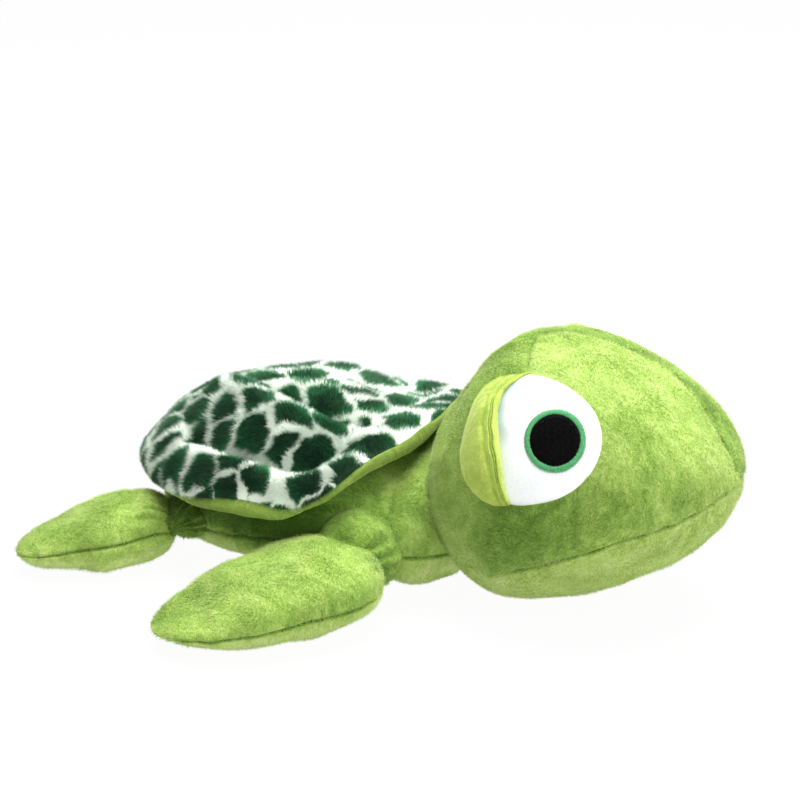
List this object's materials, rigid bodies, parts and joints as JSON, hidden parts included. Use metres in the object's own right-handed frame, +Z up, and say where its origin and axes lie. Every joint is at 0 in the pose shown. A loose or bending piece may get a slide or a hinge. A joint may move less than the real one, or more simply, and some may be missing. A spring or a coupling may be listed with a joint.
{
  "type": "plush sea turtle",
  "caption": "Stuffed plush sea turtle lying on its belly, with a large head, big sewn eyes under padded lids, a furry spotted shell cape and paddle flippers.",
  "frame": {"origin": "on the ground, in the middle of the flat patch that the belly rests on", "axes": "+X towards the snout, +Y towards the toy's left side, +Z up from the ground"},
  "size_m": [0.3808, 0.337, 0.1417],
  "materials": {
    "lime_plush": "short pile plush, brushed both ways",
    "lining_plush": "short pile plush",
    "lid_plush": "short pile plush with a topstitched edge",
    "spotted_fur": "long pile fur printed with dark green spots on pale mint",
    "fibre": "loose polyester fibre, hidden",
    "white_satin": "smooth white cloth",
    "green_thread": "satin stitch embroidery",
    "black_thread": "dense fill embroidery"
  },
  "bodies": {
    "torso": {"body_stuffing": "fibre", "back_cover": "lime_plush", "belly_cover": "lime_plush", "shell_cover": "spotted_fur", "shell_wadding": "fibre", "shell_lining": "lining_plush"},
    "neck": {"neck_stuffing": "fibre"},
    "head": {"head_stuffing": "fibre", "head_side_right": "lime_plush", "head_side_left": "lime_plush", "chin_cover": "lime_plush", "eye_white_right": "white_satin", "eye_white_left": "white_satin", "eye_ring_right": "green_thread", "eye_ring_left": "green_thread", "eye_pupil_right": "black_thread", "eye_pupil_left": "black_thread", "eyelid_right": "lid_plush", "eyelid_left": "lid_plush"},
    "front_root_right": {"front_flipper_root_right": "lime_plush"},
    "front_paddle_right": {"front_flipper_stuffing_right": "fibre", "front_flipper_upper_cover_right": "lime_plush", "front_flipper_lower_cover_right": "lime_plush"},
    "front_root_left": {"front_flipper_root_left": "lime_plush"},
    "front_paddle_left": {"front_flipper_stuffing_left": "fibre", "front_flipper_upper_cover_left": "lime_plush", "front_flipper_lower_cover_left": "lime_plush"},
    "rear_root_right": {"rear_flipper_root_right": "lime_plush"},
    "rear_paddle_right": {"rear_flipper_stuffing_right": "fibre", "rear_flipper_upper_cover_right": "lime_plush", "rear_flipper_lower_cover_right": "lime_plush"},
    "rear_root_left": {"rear_flipper_root_left": "lime_plush"},
    "rear_paddle_left": {"rear_flipper_stuffing_left": "fibre", "rear_flipper_upper_cover_left": "lime_plush", "rear_flipper_lower_cover_left": "lime_plush"}
  },
  "joints": [
    {"name": "head_turn", "type": "hinge", "parent": "torso", "child": "neck", "pos_m": [0.1, 0, 0.046], "axis": [0, 0, 1], "range_deg": [-10, 10], "stiffness_Nm_per_rad": 0.6},
    {"name": "head_nod", "type": "hinge", "parent": "neck", "child": "head", "pos_m": [0.1, 0, 0.046], "axis": [0, 1, 0], "range_deg": [-4, 8], "stiffness_Nm_per_rad": 0.8},
    {"name": "front_flap_right", "type": "hinge", "parent": "torso", "child": "front_root_right", "pos_m": [0.08518, -0.07547, 0.02568], "axis": [-0.6947, 0.7193, 0], "range_deg": [-20, 15], "stiffness_Nm_per_rad": 0.2},
    {"name": "front_sweep_right", "type": "hinge", "parent": "front_root_right", "child": "front_paddle_right", "pos_m": [0.08518, -0.07547, 0.02568], "axis": [0, 0, 1], "range_deg": [0, 40], "stiffness_Nm_per_rad": 0.2},
    {"name": "front_flap_left", "type": "hinge", "parent": "torso", "child": "front_root_left", "pos_m": [0.08518, 0.07547, 0.02568], "axis": [0.6947, 0.7193, 0], "range_deg": [-20, 15], "stiffness_Nm_per_rad": 0.2},
    {"name": "front_sweep_left", "type": "hinge", "parent": "front_root_left", "child": "front_paddle_left", "pos_m": [0.08518, 0.07547, 0.02568], "axis": [0, 0, -1], "range_deg": [0, 40], "stiffness_Nm_per_rad": 0.2},
    {"name": "rear_flap_right", "type": "hinge", "parent": "torso", "child": "rear_root_right", "pos_m": [-0.04444, -0.06443, 0.01862], "axis": [-0.515, 0.8572, 0], "range_deg": [-20, 5], "stiffness_Nm_per_rad": 0.15},
    {"name": "rear_sweep_right", "type": "hinge", "parent": "rear_root_right", "child": "rear_paddle_right", "pos_m": [-0.04444, -0.06443, 0.01862], "axis": [0, 0, 1], "range_deg": [-10, 30], "stiffness_Nm_per_rad": 0.15},
    {"name": "rear_flap_left", "type": "hinge", "parent": "torso", "child": "rear_root_left", "pos_m": [-0.04444, 0.06443, 0.01862], "axis": [0.515, 0.8572, 0], "range_deg": [-20, 5], "stiffness_Nm_per_rad": 0.15},
    {"name": "rear_sweep_left", "type": "hinge", "parent": "rear_root_left", "child": "rear_paddle_left", "pos_m": [-0.04444, 0.06443, 0.01862], "axis": [0, 0, -1], "range_deg": [-10, 30], "stiffness_Nm_per_rad": 0.15}
  ]
}
